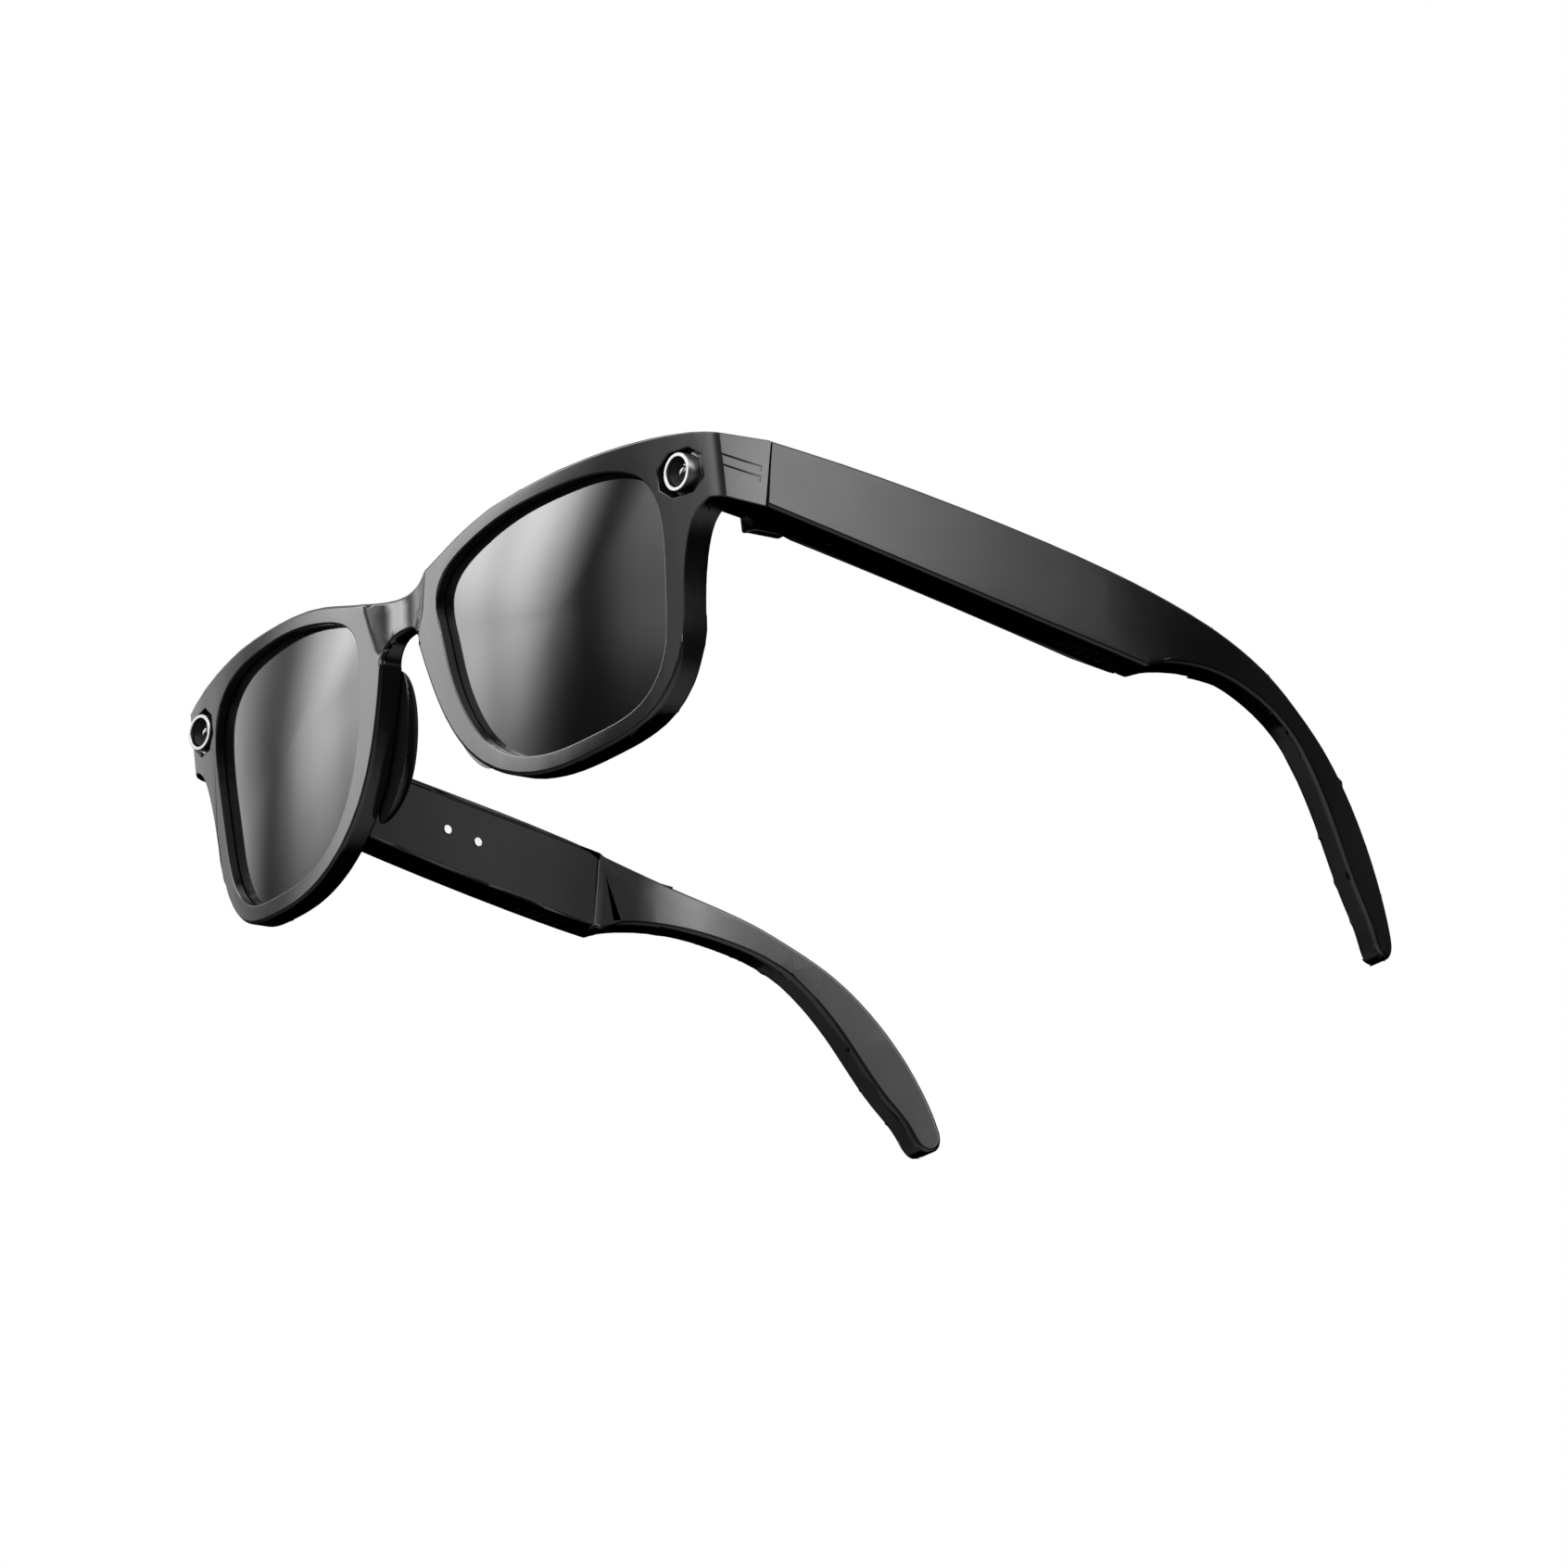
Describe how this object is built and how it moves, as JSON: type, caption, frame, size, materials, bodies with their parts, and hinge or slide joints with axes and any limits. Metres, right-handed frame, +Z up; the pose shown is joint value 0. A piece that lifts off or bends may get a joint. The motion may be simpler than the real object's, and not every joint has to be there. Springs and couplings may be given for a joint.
{
  "type": "smart glasses",
  "caption": "Black full-rim camera glasses with round camera rings in the end pieces, folding temples that hold electronics, and inner charging contacts.",
  "frame": {"origin": "centre of the bounding box in plan, at the level of the surface it rests on", "axes": "+X to the wearer's left, +Y from the front back along the temples, +Z up; the front faces -Y"},
  "size_m": [0.1496, 0.1668, 0.0496],
  "materials": {
    "frame_black": "polished",
    "lens_smoke": "polished",
    "trim_black": "gloss",
    "pad_black": "polished",
    "cover_satin": "fine satin",
    "ring_silver": "satin",
    "barrel_black": "matt",
    "camera_glass": "polished",
    "board_green": "solder mask",
    "flex_amber": "satin",
    "hinge_steel": "satin",
    "screw_steel": "satin",
    "battery_silver": "foil",
    "speaker_black": "matt",
    "mesh_black": "woven",
    "pin_metal": "polished",
    "magnet_nickel": "polished",
    "button_black": "gloss",
    "switch_black": "matt"
  },
  "bodies": {
    "front": {"front_frame": "frame_black", "front_flex_cable": "flex_amber", "brow_cover": "trim_black", "lens_left": "lens_smoke", "lens_right": "lens_smoke", "nose_pad_left": "pad_black", "nose_pad_right": "pad_black", "camera_bezel_left": "trim_black", "camera_bezel_right": "trim_black", "camera_ring_left": "ring_silver", "camera_ring_right": "ring_silver", "camera_barrel_left": "barrel_black", "camera_barrel_right": "barrel_black", "camera_lens_left": "camera_glass", "camera_lens_right": "camera_glass", "camera_board_left": "board_green", "camera_board_right": "board_green", "front_hinge_leaf_left": "hinge_steel", "front_hinge_leaf_right": "hinge_steel", "hinge_screw_left": "hinge_steel", "hinge_screw_right": "hinge_steel", "front_leaf_screws": "screw_steel"},
    "temple_left": {"temple_shell_left": "frame_black", "temple_cover_left": "cover_satin", "hinge_cap_left": "trim_black", "temple_hinge_leaf_left": "hinge_steel", "temple_leaf_screws_left": "screw_steel", "battery_left": "battery_silver", "circuit_board_left": "board_green", "speaker_left": "speaker_black", "speaker_mesh_left": "mesh_black", "microphone_left": "speaker_black", "hook_core_left": "hinge_steel", "power_switch": "switch_black"},
    "temple_right": {"temple_shell_right": "frame_black", "temple_cover_right": "cover_satin", "hinge_cap_right": "trim_black", "temple_hinge_leaf_right": "hinge_steel", "temple_leaf_screws_right": "screw_steel", "battery_right": "battery_silver", "circuit_board_right": "board_green", "speaker_right": "speaker_black", "speaker_mesh_right": "mesh_black", "microphone_right": "speaker_black", "hook_core_right": "hinge_steel", "charging_pins": "pin_metal", "charging_magnets": "magnet_nickel", "capture_switch": "switch_black", "touch_sensor": "flex_amber"},
    "capture_button": {"capture_button": "button_black"},
    "power_button": {"power_button": "button_black"}
  },
  "joints": [
    {"name": "temple_left_fold", "type": "hinge", "parent": "front", "child": "temple_left", "pos_m": [0.06545, -0.06365, 0.04597], "axis": [0, -0.1357, 0.9907], "range_deg": [0, 89]},
    {"name": "temple_right_fold", "type": "hinge", "parent": "front", "child": "temple_right", "pos_m": [-0.06545, -0.06365, 0.04597], "axis": [0, 0.1357, -0.9907], "range_deg": [0, 78]},
    {"name": "capture_press", "type": "slide", "parent": "temple_right", "child": "capture_button", "axis": [0, -0.0732, -0.9973], "range_m": [0, 0.0005], "stiffness_N_per_m": 1200},
    {"name": "power_press", "type": "slide", "parent": "temple_left", "child": "power_button", "axis": [1, 0, 0], "range_m": [0, 0.0005], "stiffness_N_per_m": 1200}
  ]
}
